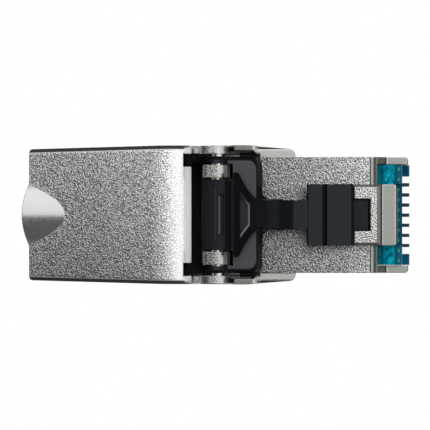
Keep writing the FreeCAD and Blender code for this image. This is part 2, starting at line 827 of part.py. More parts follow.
def build_contact_insert():
    """Translucent moulded insert with eight contact slots and a comb at its tip."""
    body = new_body("contact_insert")
    side_pad(body, "core", [
        ("insert_rear", "insert_low"),
        ("mouth_rear + running_fit", "insert_low"),
        ("mouth_rear + running_fit", "insert_sole"),
        ("comb_tip", "insert_sole", "lever_round"),
        ("comb_tip", "comb_top", "lever_round"),
        ("insert_front", "comb_top"),
        ("insert_front", "insert_top", "insert_brow"),
        ("insert_rear", "insert_top"),
    ], "insert_half")
    side_pad(body, "saddle", [
        ("block_rear - seam", "insert_saddle"),
        ("insert_front + past", "insert_saddle"),
        ("insert_front + past", "above"),
        ("block_rear - seam", "above"),
    ], "pad_half + seam", "Pocket")
    slot = side_slab(body, "slot", [
        ("slot_rear", "insert_sole - past"),
        ("slot_rear", "slot_roof"),
        ("insert_front", "slot_roof"),
        ("insert_front", "comb_top + past"),
        ("comb_tip + past", "comb_top + past"),
        ("comb_tip + past", "insert_sole - past"),
    ], "-(ways - 1) / 2 * pitch - slot_width / 2", "-(ways - 1) / 2 * pitch + slot_width / 2", "Pocket")
    tail = side_slab(body, "tail_channel", [
        ("insert_rear - past", "tail_low - seam"),
        ("insert_rear - past", "contact_top + seam"),
        ("slot_rear + past", "contact_top + seam"),
        ("slot_rear + past", "tail_low - seam"),
    ], "-(ways - 1) / 2 * pitch - contact_width / 2 - seam",
        "-(ways - 1) / 2 * pitch + contact_width / 2 + seam", "Pocket")
    rows = body.newObject("PartDesign::LinearPattern", "slots")
    rows.Originals = [slot, tail]
    rows.Direction = (slot.Profile[0], ["N_Axis"])
    rows.Reversed = True
    rows.setExpression("Length", bound("(ways - 1) * pitch"))
    rows.Occurrences = int(value_of("ways"))
    body.Tip = rows
    doc.recompute()
    return body


def build_contact(number):
    """Stamped gilt contact blade with a tail that lies on the circuit board."""
    body = new_body(f"contact_{number}")
    side_pad(body, "blade", [
        ("tail_rear", "tail_low"),
        ("contact_rear", "tail_low"),
        ("contact_rear", "contact_sole", "lever_round"),
        ("contact_front", "contact_sole", "contact_nose"),
        ("contact_front", "contact_top"),
        ("tail_rear", "contact_top"),
    ], "contact_width / 2")
    body.setExpression(".Placement.Base.y", bound(f"({number} - (ways + 1) / 2) * pitch"))
    return body


def build_circuit_board():
    """Board that carries the terminals at the back and the contact tails in the nose."""
    body = new_body("circuit_board")
    top_pad(body, "board", mirrored([
        ("board_rear", "board_half"),
        ("board_step", "board_half"),
        ("board_step", "board_neck"),
        ("board_front", "board_neck"),
    ]), "board_low", "board_top")
    return body


def wire_line(number):
    """Distance of one conductor from the middle plane."""
    return f"({number} - (ways + 1) / 2) * wire_pitch"


def fork_row(number):
    """Terminals stand in two rows, the even ones behind the odd ones."""
    return "idc_row" if number % 2 else "idc_row - idc_row_step"


def build_idc_block():
    """Terminal block with eight open wire troughs and a slot for every fork."""
    body = new_body("idc_block")
    top_pad(body, "core", block("idc_rear", "idc_front", "-idc_half", "idc_half"), "board_top", "idc_top")
    troughs = new_sketch(body, "trough_circles", "YZ_Plane", "idc_rear - past")
    slots = new_sketch(body, "slot_outlines", "XY_Plane", "board_top")
    for number in range(1, ways + 1):
        circle(troughs, wire_line(number), "idc_top", "wire_radius")
        left = f"{wire_line(number)} - fork_half - seam"
        right = f"{wire_line(number)} + fork_half + seam"
        behind = f"{fork_row(number)} - fork_thick / 2 - seam"
        before = f"{fork_row(number)} + fork_thick / 2 + seam"
        outline(slots, block(behind, before, left, right))
    extrude(body, "Pocket", "troughs", troughs, "idc_front - idc_rear + 2 * past", reverse=True)
    extrude(body, "Pocket", "fork_slots", slots, "idc_top - board_top", reverse=True)
    return body


def build_idc_terminal(number):
    """Forked blade that cuts through one conductor's insulation."""
    body = new_body(f"idc_terminal_{number}")
    sketch = new_sketch(body, "fork_outline", "YZ_Plane")
    outline(sketch, [
        ("-fork_half", "board_top"),
        ("fork_half", "board_top"),
        ("fork_half", "fork_top"),
        ("fork_gap", "fork_top"),
        ("fork_gap", "fork_throat"),
        ("-fork_gap", "fork_throat"),
        ("-fork_gap", "fork_top"),
        ("-fork_half", "fork_top"),
    ])
    extrude(body, "Pad", "fork", sketch, "fork_thick", "Symmetric")
    body.setExpression(".Placement.Base.x", bound(fork_row(number)))
    body.setExpression(".Placement.Base.y", bound(wire_line(number)))
    return body


def build_wire_manager():
    """Moulded tray in the lid whose grooves press the conductors into the forks."""
    body = new_body("wire_manager")
    side_pad(body, "core", [
        ("tray_rear", "tray_top - past", "tray_round"),
        ("tray_rear + past", "tray_low"),
        ("tray_front", "tray_low"),
        ("tray_front", "tray_top", "tray_round"),
        ("tray_rear", "tray_top"),
    ], "tray_half")
    grooves = new_sketch(body, "groove_outlines", "YZ_Plane", "tray_rear - past")
    for number in range(1, ways + 1):
        left = f"{wire_line(number)} - groove_half"
        right = f"{wire_line(number)} + groove_half"
        outline(grooves, block(left, right, "tray_low - past", "groove_top"))
    extrude(body, "Pocket", "grooves", grooves, "tray_front - tray_rear + 2 * past", reverse=True)
    return body


def build_braid_clip():
    """Folded spring strip that cradles the cable's braid behind the board."""
    body = new_body("braid_clip")
    for name, radius, kind in (("band", "clip_radius + clip_thick", "Pad"), ("bed", "clip_radius", "Pocket")):
        sketch = new_sketch(body, f"{name}_circle", "YZ_Plane", "clip_rear")
        circle(sketch, 0, "parting", radius)
        extrude(body, kind, name, sketch, "clip_front - clip_rear", reverse=kind == "Pocket")
        if kind == "Pad":
            side_pad(body, "mouth", block("clip_rear - past", "clip_front + past", "parting", "above"),
                     "clip_radius + past", "Pocket")
            top_pad(body, "foot", block("clip_rear", "clip_front", "-clip_foot_half", "clip_foot_half"),
                    "floor_skin", "parting - clip_radius - clip_thick / 2")
    return body


def check(bodies):
    """Stop if anything failed to rebuild or a sub-part is not one valid solid."""
    for item in doc.Objects:
        if "Invalid" in item.State or "Error" in item.State:
            raise ValueError(f"{item.Name} did not rebuild: {item.State}")
    for body in bodies:
        shape = body.Shape
        if shape.isNull() or not shape.isValid() or len(shape.Solids) != 1:
            raise ValueError(f"{body.Label} is not one valid solid")


ways = int(value_of("ways"))
bodies = [
    build_lower_housing(),
    build_cover(),
    build_hinge_pin(),
    build_latch_actuator(),
    build_latch_lever(),
    build_contact_insert(),
    build_circuit_board(),
    build_idc_block(),
    build_wire_manager(),
    build_braid_clip(),
]
for number in range(1, ways + 1):
    bodies.append(build_contact(number))
    bodies.append(build_idc_terminal(number))
doc.recompute()
check(bodies)
os.makedirs("parts", exist_ok=True)
for body in bodies:
    body.Shape.exportStep(f"parts/{body.Label}.step")
    print(body.Label, round(body.Shape.Volume, 2))
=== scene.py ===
import bpy
import math
from types import SimpleNamespace
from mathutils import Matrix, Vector

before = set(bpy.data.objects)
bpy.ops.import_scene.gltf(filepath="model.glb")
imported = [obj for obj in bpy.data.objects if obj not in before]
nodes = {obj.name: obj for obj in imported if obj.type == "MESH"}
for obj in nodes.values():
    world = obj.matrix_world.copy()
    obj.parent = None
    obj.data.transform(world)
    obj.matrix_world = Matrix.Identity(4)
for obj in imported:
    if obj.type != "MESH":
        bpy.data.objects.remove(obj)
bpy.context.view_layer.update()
mm = 0.001
raySamples = 6  # for every bevel and openness node
noiseSpan = (0.3, 0.7)  # where nearly all values of a noise texture lie
pureWhite = (1, 1, 1, 1)


def newMaterial(name):
    material = bpy.data.materials.new(name)
    material.use_nodes = True
    tree = material.node_tree
    tree.nodes.clear()
    output = tree.nodes.new("ShaderNodeOutputMaterial")
    shader = tree.nodes.new("ShaderNodeBsdfPrincipled")
    tree.links.new(shader.outputs[0], output.inputs["Surface"])
    return material, tree, shader


def plug(tree, value, socket):
    # another node's socket is linked, anything else is the value itself
    if isinstance(value, bpy.types.NodeSocket):
        tree.links.new(value, socket)
    else:
        socket.default_value = value


def addNode(tree, kind, inputs=None, **settings):
    node = tree.nodes.new(kind)
    for key, value in settings.items():
        setattr(node, key, value)
    for key, value in (inputs or {}).items():
        plug(tree, value, node.inputs[key])
    return node


def calc(tree, operation, first, second=0.0):
    return addNode(tree, "ShaderNodeMath", {0: first, 1: second}, operation=operation).outputs[0]


def chain(tree, operation, first, others):
    for other in others:
        first = calc(tree, operation, first, other)
    return first


def allOf(tree, first, *others):
    return chain(tree, "MULTIPLY", first, others)


def anyOf(tree, first, *others):
    return chain(tree, "MAXIMUM", first, others)


def total(tree, first, *others):
    return chain(tree, "ADD", first, others)


def less(tree, first, second):
    return calc(tree, "SUBTRACT", first, second)


def inverse(tree, share):
    return less(tree, 1.0, share)


def magnitude(tree, value):
    return calc(tree, "ABSOLUTE", value)


def past(tree, value, limit):
    return calc(tree, "GREATER_THAN", value, limit)


def short(tree, value, limit):
    return calc(tree, "LESS_THAN", value, limit)


def between(tree, value, span):
    return allOf(tree, past(tree, value, span[0]), short(tree, value, span[1]))


def mapRange(tree, value, span, start=0, end=1, kind="LINEAR"):
    inputs = {"Value": value, "From Min": span[0], "From Max": span[1], "To Min": start, "To Max": end}
    return addNode(tree, "ShaderNodeMapRange", inputs, interpolation_type=kind).outputs["Result"]


def fade(tree, value, span, start=0, end=1):
    return mapRange(tree, value, span, start, end, "SMOOTHSTEP")


def lerp(tree, share, start, end):
    return mapRange(tree, share, (0, 1), start, end)


def stripe(tree, value, middle, half, edge):
    # 1 inside the strip, fading to 0 over its edge
    return fade(tree, magnitude(tree, less(tree, value, middle)), (half, half + edge), 1, 0)


def mixColour(tree, factor, first, second):
    return addNode(tree, "ShaderNodeMix", {0: factor, 6: first, 7: second}, data_type="RGBA").outputs[2]


def calcVector(tree, operation, first, second, output=0):
    return addNode(tree, "ShaderNodeVectorMath", {0: first, 1: second}, operation=operation).outputs[output]


def unit(tree, vector):
    return addNode(tree, "ShaderNodeVectorMath", {0: vector}, operation="NORMALIZE").outputs[0]


def joined(tree, ahead=0.0, left=0.0, up=0.0):
    return addNode(tree, "ShaderNodeCombineXYZ", {0: ahead, 1: left, 2: up}).outputs[0]


def split(tree, vector):
    return addNode(tree, "ShaderNodeSeparateXYZ", {0: vector}).outputs


def grain(tree, place, scale, detail=2.0, rough=0.5):
    inputs = {"Vector": place, "Scale": scale, "Detail": detail, "Roughness": rough}
    return addNode(tree, "ShaderNodeTexNoise", inputs).outputs["Fac"]


def ramp(tree, value, stops):
    # value runs from 0 at the first stop to 1 at the last
    node = addNode(tree, "ShaderNodeValToRGB", {0: value})
    first, last = stops[0][0], stops[-1][0]
    elements = node.color_ramp.elements
    while len(elements) < len(stops):
        elements.new(0.5)
    for element, (at, colour) in zip(elements, stops):
        element.position = (at - first) / (last - first)
        element.color = (*colour, 1)
    return node.outputs[0]


def objectPlace(tree):
    return addNode(tree, "ShaderNodeTexCoord").outputs["Object"]


def readSurface(tree):
    # where a point lies on the plug, and how far its face looks ahead, to the left and up
    coords = addNode(tree, "ShaderNodeTexCoord")
    place = coords.outputs["Object"]
    along, across, height = split(tree, place)
    ahead, left, up = split(tree, coords.outputs["Normal"])
    return SimpleNamespace(place=place, along=along, across=across, height=height,
                           side=magnitude(tree, across), ahead=ahead, left=left, up=up)


def softNormal(tree, radius):
    # shading normal rounded along every edge
    return addNode(tree, "ShaderNodeBevel", {"Radius": radius}, samples=raySamples).outputs[0]


def openness(tree, reach, span):
    # 0 in deep narrow places, 1 on open faces
    node = addNode(tree, "ShaderNodeAmbientOcclusion", {"Distance": reach}, samples=raySamples)
    return fade(tree, node.outputs["AO"], span)


def setRoughness(tree, shader, level, noise, drift):
    plug(tree, total(tree, level, mapRange(tree, noise, noiseSpan, *drift)), shader.inputs["Roughness"])


def setBump(tree, shader, height, depth, strength, normal=None):
    inputs = {"Height": height, "Distance": depth, "Strength": strength}
    if normal is not None:
        inputs["Normal"] = normal
    plug(tree, addNode(tree, "ShaderNodeBump", inputs).outputs[0], shader.inputs["Normal"])


# nickel-plated shell; lengths are from the hinge pin along the plug, from its middle, or above its sole
plateLook = {
    "darkGrain": (0.16, 0.16, 0.16, 1),
    "lightGrain": (0.80, 0.80, 0.795, 1),
    "grainSize": 0.117 * mm,
    "grainDetail": 1.5,
    "grainDepth": 0.058 * mm,
    "grainStrength": 1.0,
    "grainRoughness": 0.22,
    "grainFacing": (0.55, 0.85),
    "speckSpan": (0.36, 0.64),
    "calmFacing": (0.88, 0.995),  # the grain is fainter on faces that lean
    "calmLeast": 0.3,
    "cloudSize": 0.585 * mm,
    "cloudDrift": (-0.02, 0.03),
    "smoothTone": (0.66, 0.68, 0.64, 1),
    "smoothShare": 0.004,  # of the grain's depth
    "smoothRoughness": 0.26,
    "coneTone": (0.63, 0.63, 0.625, 1),
    "coneShare": 0.05,
    "coneRoughness": 0.18,
    "coneFloor": 12.805 * mm,
    "edgeRadius": 0.12 * mm,
    # painted shade for narrow places and for the gap before each lug
    "recessShade": (0.010, 0.011, 0.010, 1),
    "recessReach": 2.4 * mm,
    "recessSpan": (0.10, 0.48),
    # painted shade: a dark, non-metallic tone on the rounded edges that face sideways
    "rimShadeTone": (0.05, 0.05, 0.049, 1),
    "rimAside": (0.32, 0.48),
    "rimFacing": (0.06, 0.2),
    "steepFacing": (0.80, 0.60),
    "sideDome": 12.0,  # lean of the shading normal for each metre from the middle
    "sideSpan": (1.4 * mm, 7.0 * mm),
    "sideEase": 0.6,
    "lidDome": 10.5,
    "lidFrom": -12.0 * mm,
    "noseDome": 19.0,
    "noseMiddle": 8.5 * mm,
    "noseRear": 4.5 * mm,
    "roofEnd": 15.26 * mm,
    # painted shade on the nose's forward slopes and on its step
    "noseSlopeShade": (0.035, 0.036, 0.032, 1),
    "noseSlope": (0.12, 0.45),
    "stepShade": (0.085, 0.085, 0.075, 1),
    "stepAside": (0.5, 0.8),
    # painted light and shade by region: darker lugs, arms, valleys and ledge, lighter pad
    "lugShade": (0.55, 0.55, 0.54),
    "lugSide": (3.6 * mm, 5.05 * mm),
    "lugSpan": (-1.6 * mm, 1.8 * mm),
    "lugSteepShade": (0.13, 0.132, 0.128, 1),
    # painted light on the toe of each lug
    "toeLightTone": (0.25, 0.255, 0.245, 1),
    "toeSpan": (0.5 * mm, 1.32 * mm),
    "armShade": (0.62, 0.62, 0.61),
    "armHalf": 5.9 * mm,
    "armSpan": (-1.6 * mm, 4.4 * mm),
    "armFacing": (0.1, 0.3),
    "valleyShade": (0.045, 0.047, 0.045, 1),
    "valleySide": (5.5 * mm, 6.25 * mm),
    "valleySpan": (2.3 * mm, 4.4 * mm),
    "wingHalf": 5.80 * mm,
    "wingTop": 8.5 * mm,
    "wingRear": 4.4 * mm,
    "wingFacing": (0.3, 0.6),
    "wingLift": 0.9,
    "wingLean": 0.14,
    "cheekRear": 0.75 * mm,
    "padLight": (1.2, 1.2, 1.2),
    "padHalf": 2.76 * mm,
    "padFloor": 10.1 * mm,
    "padRear": 13.7 * mm,
    "padFront": 15.96 * mm,
    "slotRear": 14.95 * mm,
    "slotHalf": 1.62 * mm,
    "slotClear": 0.25,
    "ledgeShade": (0.15, 0.153, 0.138, 1),
    "ledgeSpan": (15.68 * mm, 16.12 * mm),
    "ledgeTop": 8.45 * mm,
    "browEnd": -2.2 * mm,
    "browFloor": 9.5 * mm,
    "browFacing": (0.2, 0.5),
    # painted light on the front edge of the brow
    "browLightTone": (0.96, 0.96, 0.95, 1),
    "browLightSpan": (-3.45 * mm, -2.95 * mm),
    "browLightFacing": (0.3, 0.6),
}


def lowWing(tree, at, look):
    return allOf(tree, past(tree, at.side, look["wingHalf"]), short(tree, at.height, look["wingTop"]))


def plainAreas(tree, at, cone, look):
    # wings, cheeks, the step of the nose roof, the nose beyond it and the cone over the cable have no grain
    cheek = allOf(tree, past(tree, at.side, look["wingHalf"]), past(tree, at.along, look["cheekRear"]))
    beside = allOf(tree, past(tree, at.along, look["roofEnd"]), past(tree, at.side, look["padHalf"]))
    tip = past(tree, at.along, look["padFront"])
    return anyOf(tree, lowWing(tree, at, look), cheek, beside, tip, cone)


def noseTones(tree, at, tone, aside, steep, look):
    # painted shade on the nose beyond its roof where it slopes ahead, and on the step down to it
    beyond = past(tree, at.along, look["roofEnd"])
    sloped = allOf(tree, beyond, fade(tree, at.ahead, look["noseSlope"]))
    tone = mixColour(tree, sloped, tone, look["noseSlopeShade"])
    step = allOf(tree, beyond, mapRange(tree, aside, look["stepAside"], 1, 0), steep)
    return mixColour(tree, step, tone, look["stepShade"])


def regionTones(tree, at, tone, upward, steep, lug, look):
    # painted light and shade by region: lugs and arms darker, the front pad lighter; painted shade on the
    # steep faces of the lugs, in the valleys beside the arms, in the gap before each lug and on the ledge of
    # the nose
    arm = allOf(tree, past(tree, at.side, look["armHalf"]), mapRange(tree, at.up, look["armFacing"]),
                between(tree, at.along, look["armSpan"]))
    pad = allOf(tree, past(tree, at.height, look["padFloor"]), past(tree, at.along, look["padRear"]))
    for region, shadeFactor in ((lug, look["lugShade"]), (arm, look["armShade"]), (pad, look["padLight"])):
        tone = mixColour(tree, region, tone, calcVector(tree, "MULTIPLY", tone, shadeFactor))
    valley = allOf(tree, between(tree, at.side, look["valleySide"]),
                   between(tree, at.along, look["valleySpan"]))
    gap = allOf(tree, lug, past(tree, at.along, look["toeSpan"][1]))
    ledge = allOf(tree, between(tree, at.along, look["ledgeSpan"]), past(tree, at.side, look["padHalf"]),
                  short(tree, at.height, look["ledgeTop"]), upward)
    for region, paintedShade in ((allOf(tree, lug, steep), look["lugSteepShade"]), (valley, look["valleyShade"]),
                        (gap, look["recessShade"]), (ledge, look["ledgeShade"])):
        tone = mixColour(tree, region, tone, paintedShade)
    return tone


def platingNormal(tree, at, grained, look):
    # the large grained faces are slightly domed, and the wings look nearly level
    nose = allOf(tree, less(tree, at.along, look["noseMiddle"]), past(tree, at.along, look["noseRear"]))
    lid = allOf(tree, anyOf(tree, less(tree, at.along, look["lidFrom"]), 0.0), short(tree, at.along, 0.0))
    ahead = total(tree, allOf(tree, nose, look["noseDome"]), allOf(tree, lid, look["lidDome"]))
    ease = mapRange(tree, at.along, look["sideSpan"], 1, look["sideEase"])
    lean = joined(tree, ahead, allOf(tree, at.across, look["sideDome"], ease))
    scaled = addNode(tree, "ShaderNodeVectorMath", {0: lean, 3: grained}, operation="SCALE").outputs[0]
    domed = unit(tree, calcVector(tree, "ADD", softNormal(tree, look["edgeRadius"]), scaled))
    wing = allOf(tree, lowWing(tree, at, look), past(tree, at.along, look["wingRear"]),
                 mapRange(tree, at.up, look["wingFacing"], 0, look["wingLift"]))
    lift = joined(tree, allOf(tree, wing, look["wingLean"]), up=wing)
    return unit(tree, calcVector(tree, "ADD", domed, lift))


def nickelPlate(name, look=plateLook):
    # coarse spark grain on the faces that lie flat, plain and smoother elsewhere
    material, tree, shader = newMaterial(name)
    at = readSurface(tree)
    aside = magnitude(tree, at.left)
    upward = fade(tree, at.up, look["grainFacing"])
    steep = fade(tree, at.up, look["steepFacing"])
    calm = fade(tree, at.up, look["calmFacing"], look["calmLeast"])
    cone = past(tree, at.height, look["coneFloor"])
    grained = allOf(tree, upward, inverse(tree, plainAreas(tree, at, cone, look)))
    fine = grain(tree, at.place, 1 / look["grainSize"], look["grainDetail"])

    speck = mapRange(tree, fine, look["speckSpan"], inverse(tree, calm))
    plain = mixColour(tree, cone, look["smoothTone"], look["coneTone"])
    tone = mixColour(tree, grained, plain, mixColour(tree, speck, look["darkGrain"], look["lightGrain"]))
    # painted shade on the rounded edges that face sideways, which are not metallic
    shadedRim = allOf(tree, fade(tree, aside, look["rimAside"]), mapRange(tree, at.up, look["rimFacing"]))
    tone = mixColour(tree, shadedRim, tone, look["rimShadeTone"])
    lug = allOf(tree, between(tree, at.side, look["lugSide"]), between(tree, at.along, look["lugSpan"]))
    tone = noseTones(tree, at, tone, aside, steep, look)
    tone = regionTones(tree, at, tone, upward, steep, lug, look)

    # painted shade: narrow places are dark, the slot of the pad less so and the brow not at all
    slot = allOf(tree, past(tree, at.along, look["slotRear"]), short(tree, at.side, look["slotHalf"]))
    brow = allOf(tree, short(tree, at.along, look["browEnd"]), past(tree, at.height, look["browFloor"]),
                 mapRange(tree, at.up, look["browFacing"]))
    clear = anyOf(tree, openness(tree, look["recessReach"], look["recessSpan"]),
                  allOf(tree, slot, look["slotClear"]), brow)
    tone = mixColour(tree, clear, look["recessShade"], tone)

    # painted light: the front edge of the brow is near-white and the toe of each lug flat grey, neither
    # metallic, so neither mirrors the latch
    browLight = allOf(tree, brow, fade(tree, at.along, look["browLightSpan"]),
                  fade(tree, at.ahead, look["browLightFacing"]))
    toe = allOf(tree, lug, steep, between(tree, at.along, look["toeSpan"]))
    tone = mixColour(tree, toe, mixColour(tree, browLight, tone, look["browLightTone"]), look["toeLightTone"])
    plug(tree, tone, shader.inputs["Base Color"])
    plug(tree, inverse(tree, anyOf(tree, shadedRim, browLight, toe)), shader.inputs["Metallic"])
    plug(tree, 0.0, shader.inputs["Specular IOR Level"])

    satin = lerp(tree, grained, look["smoothRoughness"], look["grainRoughness"])
    polished = allOf(tree, cone, look["coneRoughness"] - look["smoothRoughness"])
    cloud = grain(tree, at.place, 1 / look["cloudSize"])
    setRoughness(tree, shader, total(tree, satin, polished), cloud, look["cloudDrift"])
    depth = total(tree, allOf(tree, calm, lerp(tree, grained, look["smoothShare"], 1.0)),
                  allOf(tree, cone, look["coneShare"]))
    normal = platingNormal(tree, at, grained, look)
    setBump(tree, shader, allOf(tree, fine, depth), look["grainDepth"], look["grainStrength"], normal)
    return material


# black mouldings: first what both share
mouldLook = {
    "deep": (0.007, 0.0075, 0.0095, 1),
    "flatFacing": (0.8, 0.97),
    # painted highlight along the edges
    "edge": (0.075, 0.077, 0.084, 1),
    "edgeRadius": 0.12 * mm,
    "edgeLean": (0.05, 0.35),
    "edgeShare": 0.4,
    "cloudSize": 4.0 * mm,
    "cloudDetail": 3.0,
    "cloudRough": 0.55,
    "cloudShare": 0.3,
    "creviceShade": (0.003, 0.003, 0.004, 1),
    "creviceReach": 0.8 * mm,
    "creviceSpan": (0.15, 0.7),
    "gloss": 0.015,
    "roughness": 0.38,
    "roughnessDrift": (-0.05, 0.08),
    "sparkSize": 0.09 * mm,
    "sparkDepth": 0.006 * mm,
    "sparkStrength": 0.6,
}


def patch(x, halfX, halfY, floor, edge, tone):
    # soft-edged box in plan that takes another tone above its floor, in millimetres; each one here paints a
    # highlight or a shade
    return {"x": x * mm, "halfX": halfX * mm, "halfY": halfY * mm, "floor": floor * mm, "edge": edge * mm,
            "tone": (*tone, 1)}


# bands are spans of height whose flat faces get a lighter tone, partly the part's own grey and partly painted
# reflection of the light overhead; patches and glints are painted highlights and painted shade, and glints
# lie over everything else
buttonLook = {
    "bands": ((11.95 * mm, 12.15 * mm, (0.105, 0.108, 0.119, 1)),
              (12.57 * mm, 12.75 * mm, (0.051, 0.052, 0.060, 1)),
              (12.25 * mm, 12.57 * mm, (0.022, 0.0225, 0.027, 1))),
    "patches": (patch(0.05, 1.35, 3.6, 11.3, 0.1, (0.026, 0.027, 0.033)),),
    "glintsAndShade": (patch(-0.1, 0.01, 2.6, 11.5, 0.05, (0.06, 0.06, 0.064)),
               patch(0.27, 0.02, 1.85, 11.5, 0.07, (0.17, 0.17, 0.18)),
               patch(1.33, 0.22, 3.3, 10.0, 0.06, (0.022, 0.0225, 0.027)),
               patch(1.5, 0.02, 3.2, 10.0, 0.05, (0.05, 0.051, 0.056)),
               patch(4.55, 0.45, 1.3, 10.0, 0.05, (0.012, 0.0125, 0.016)),
               patch(4.22, 0.15, 4.5, 9.0, 0.05, (0.003, 0.0032, 0.0045))),
    # painted highlight on the lip of the dimple
    "lip": {"front": 3.25 * mm, "tip": 1.0 * mm, "rear": 2.36 * mm, "floor": 12.4 * mm, "inset": 0.05 * mm,
            "half": 0.05 * mm, "edge": 0.07 * mm, "slant": (0.8, 0.6), "faintFrom": 1.5 * mm, "faint": 0.3,
            "tone": (0.42, 0.42, 0.43, 1)},
    # painted shade outside the rounded corners of the plate
    "corner": {"x": 2.95 * mm, "y": 4.5 * mm, "radius": 0.93 * mm, "edge": 0.08 * mm,
               "tone": (0.010, 0.0105, 0.013, 1)},
}

leverLook = {
    "bands": ((10.5 * mm, 10.7 * mm, (0.018, 0.022, 0.027, 1)),
              (10.7 * mm, 11.3 * mm, (0.037, 0.042, 0.047, 1)),
              (9.8 * mm, 10.1 * mm, (0.030, 0.035, 0.042, 1))),
    "patches": (patch(6.95, 0.5, 3.0, 9.0, 0.35, (0.013, 0.0135, 0.017)),),
    "glintsAndShade": (patch(10.69, 0.17, 2.9, 9.0, 0.03, (0.026, 0.0265, 0.033)),),
}


def patched(tree, at, tone, boxes):
    for box in boxes:
        inside = allOf(tree, stripe(tree, at.along, box["x"], box["halfX"], box["edge"]),
                       stripe(tree, at.across, 0, box["halfY"], box["edge"]),
                       past(tree, at.height, box["floor"]))
        tone = mixColour(tree, inside, tone, box["tone"])
    return tone


def dimpleLipHighlight(tree, at, lip):
    # painted highlight on the front wall of the thumb dimple, straight in the middle, slanted at both ends
    # and fainter on the left
    ahead = less(tree, lip["front"], at.along)
    inward = less(tree, lip["tip"], at.side)
    slanted = total(tree, allOf(tree, ahead, lip["slant"][0]), allOf(tree, inward, lip["slant"][1]))
    near = stripe(tree, calc(tree, "MINIMUM", ahead, slanted), lip["inset"], lip["half"], lip["edge"])
    return allOf(tree, near, fade(tree, at.across, (lip["tip"], lip["faintFrom"]), 1, lip["faint"]),
                 past(tree, at.along, lip["rear"]), past(tree, at.height, lip["floor"]))


def pastCorner(tree, at, corner):
    # 1 outside the rounded front corners of the gusset plate, where a dark tone is painted as shade
    ahead = anyOf(tree, less(tree, at.along, corner["x"]), 0.0)
    aside = anyOf(tree, less(tree, at.side, corner["y"]), 0.0)
    reach = calc(tree, "SQRT", total(tree, allOf(tree, ahead, ahead), allOf(tree, aside, aside)))
    return fade(tree, reach, (corner["radius"], corner["radius"] + corner["edge"]))


def blackMoulding(name, piece, look=mouldLook):
    # flat faces in the piece's bands get a lighter tone, partly their own grey and partly painted reflection
    # of the light overhead; all else is a deeper black
    material, tree, shader = newMaterial(name)
    at = readSurface(tree)
    upward = fade(tree, at.up, look["flatFacing"])
    tone = look["deep"]
    for floor, top, topSheen in piece["bands"]:
        tone = mixColour(tree, allOf(tree, upward, between(tree, at.height, (floor, top))), tone, topSheen)
    tone = patched(tree, at, tone, piece["patches"])

    # painted highlight: a lighter tone along every edge
    soft = softNormal(tree, look["edgeRadius"])
    flat = addNode(tree, "ShaderNodeNewGeometry").outputs["True Normal"]
    lean = inverse(tree, calcVector(tree, "DOT_PRODUCT", soft, flat, "Value"))
    edgeLit = mixColour(tree, mapRange(tree, lean, look["edgeLean"], 0, look["edgeShare"]), tone, look["edge"])
    cloud = grain(tree, at.place, 1 / look["cloudSize"], look["cloudDetail"], look["cloudRough"])
    mottled = mixColour(tree, mapRange(tree, cloud, noiseSpan, 0, look["cloudShare"]), edgeLit, tone)
    # painted shade deep in crevices, with the painted glints and spots of shade laid over it
    clear = openness(tree, look["creviceReach"], look["creviceSpan"])
    tone = patched(tree, at, mixColour(tree, clear, look["creviceShade"], mottled), piece["glintsAndShade"])
    # painted highlight on the lip of the dimple and painted shade outside the plate's corners
    for key, mask in (("lip", dimpleLipHighlight), ("corner", pastCorner)):
        if key in piece:
            tone = mixColour(tree, mask(tree, at, piece[key]), tone, piece[key]["tone"])
    plug(tree, tone, shader.inputs["Base Color"])
    plug(tree, look["gloss"], shader.inputs["Specular IOR Level"])
    spark = grain(tree, at.place, 1 / look["sparkSize"])
    setRoughness(tree, shader, look["roughness"], spark, look["roughnessDrift"])
    setBump(tree, shader, spark, look["sparkDepth"], look["sparkStrength"], soft)
    return material


# teal insert; the bands are at millimetres along the plug, from the insert's shoulders to its comb
tealLook = {
    "bands": ((16.0, (0.0, 0.09, 0.09)), (16.3, (0.0, 0.24, 0.25)), (16.55, (0.0, 0.09, 0.15)),
              (16.8, (0.0, 0.28, 0.42)), (17.3, (0.0, 0.38, 0.55)), (17.75, (0.0, 0.30, 0.37)),
              (17.95, (0.0, 0.11, 0.18)), (19.4, (0.0, 0.11, 0.20))),
    "dark": (0.0, 0.06, 0.13, 1),
    "darkSpan": (0.45, 0.7),
    "darkShare": 0.8,
    "lit": (0.0, 0.55, 0.75, 1),
    "litAlong": (16.85 * mm, 17.7 * mm),
    "litSize": 0.7 * mm,
    "litDetail": 1.0,
    "litSpan": (0.56, 0.64),
    "tooth": (0.028, 0.068, 0.10, 1),
    "toothAlong": (18.5 * mm, 18.65 * mm),
    "toothHalf": 4.0 * mm,
    "glint": (0.06, 0.40, 0.26, 1),
    "glintAt": 18.22 * mm,
    "glintReach": 0.16 * mm,
    "glintAside": (0.06, 0.24),  # share of the pitch
    "pitch": 1.016 * mm,
    "gloss": 0.06,
    "roughness": 0.22,
    "roughnessDrift": (-0.03, 0.05),
    "roughnessSize": 0.125 * mm,
    "rippleSize": 0.45 * mm,
    "rippleDepth": 0.01 * mm,
    "rippleStrength": 0.5,
}


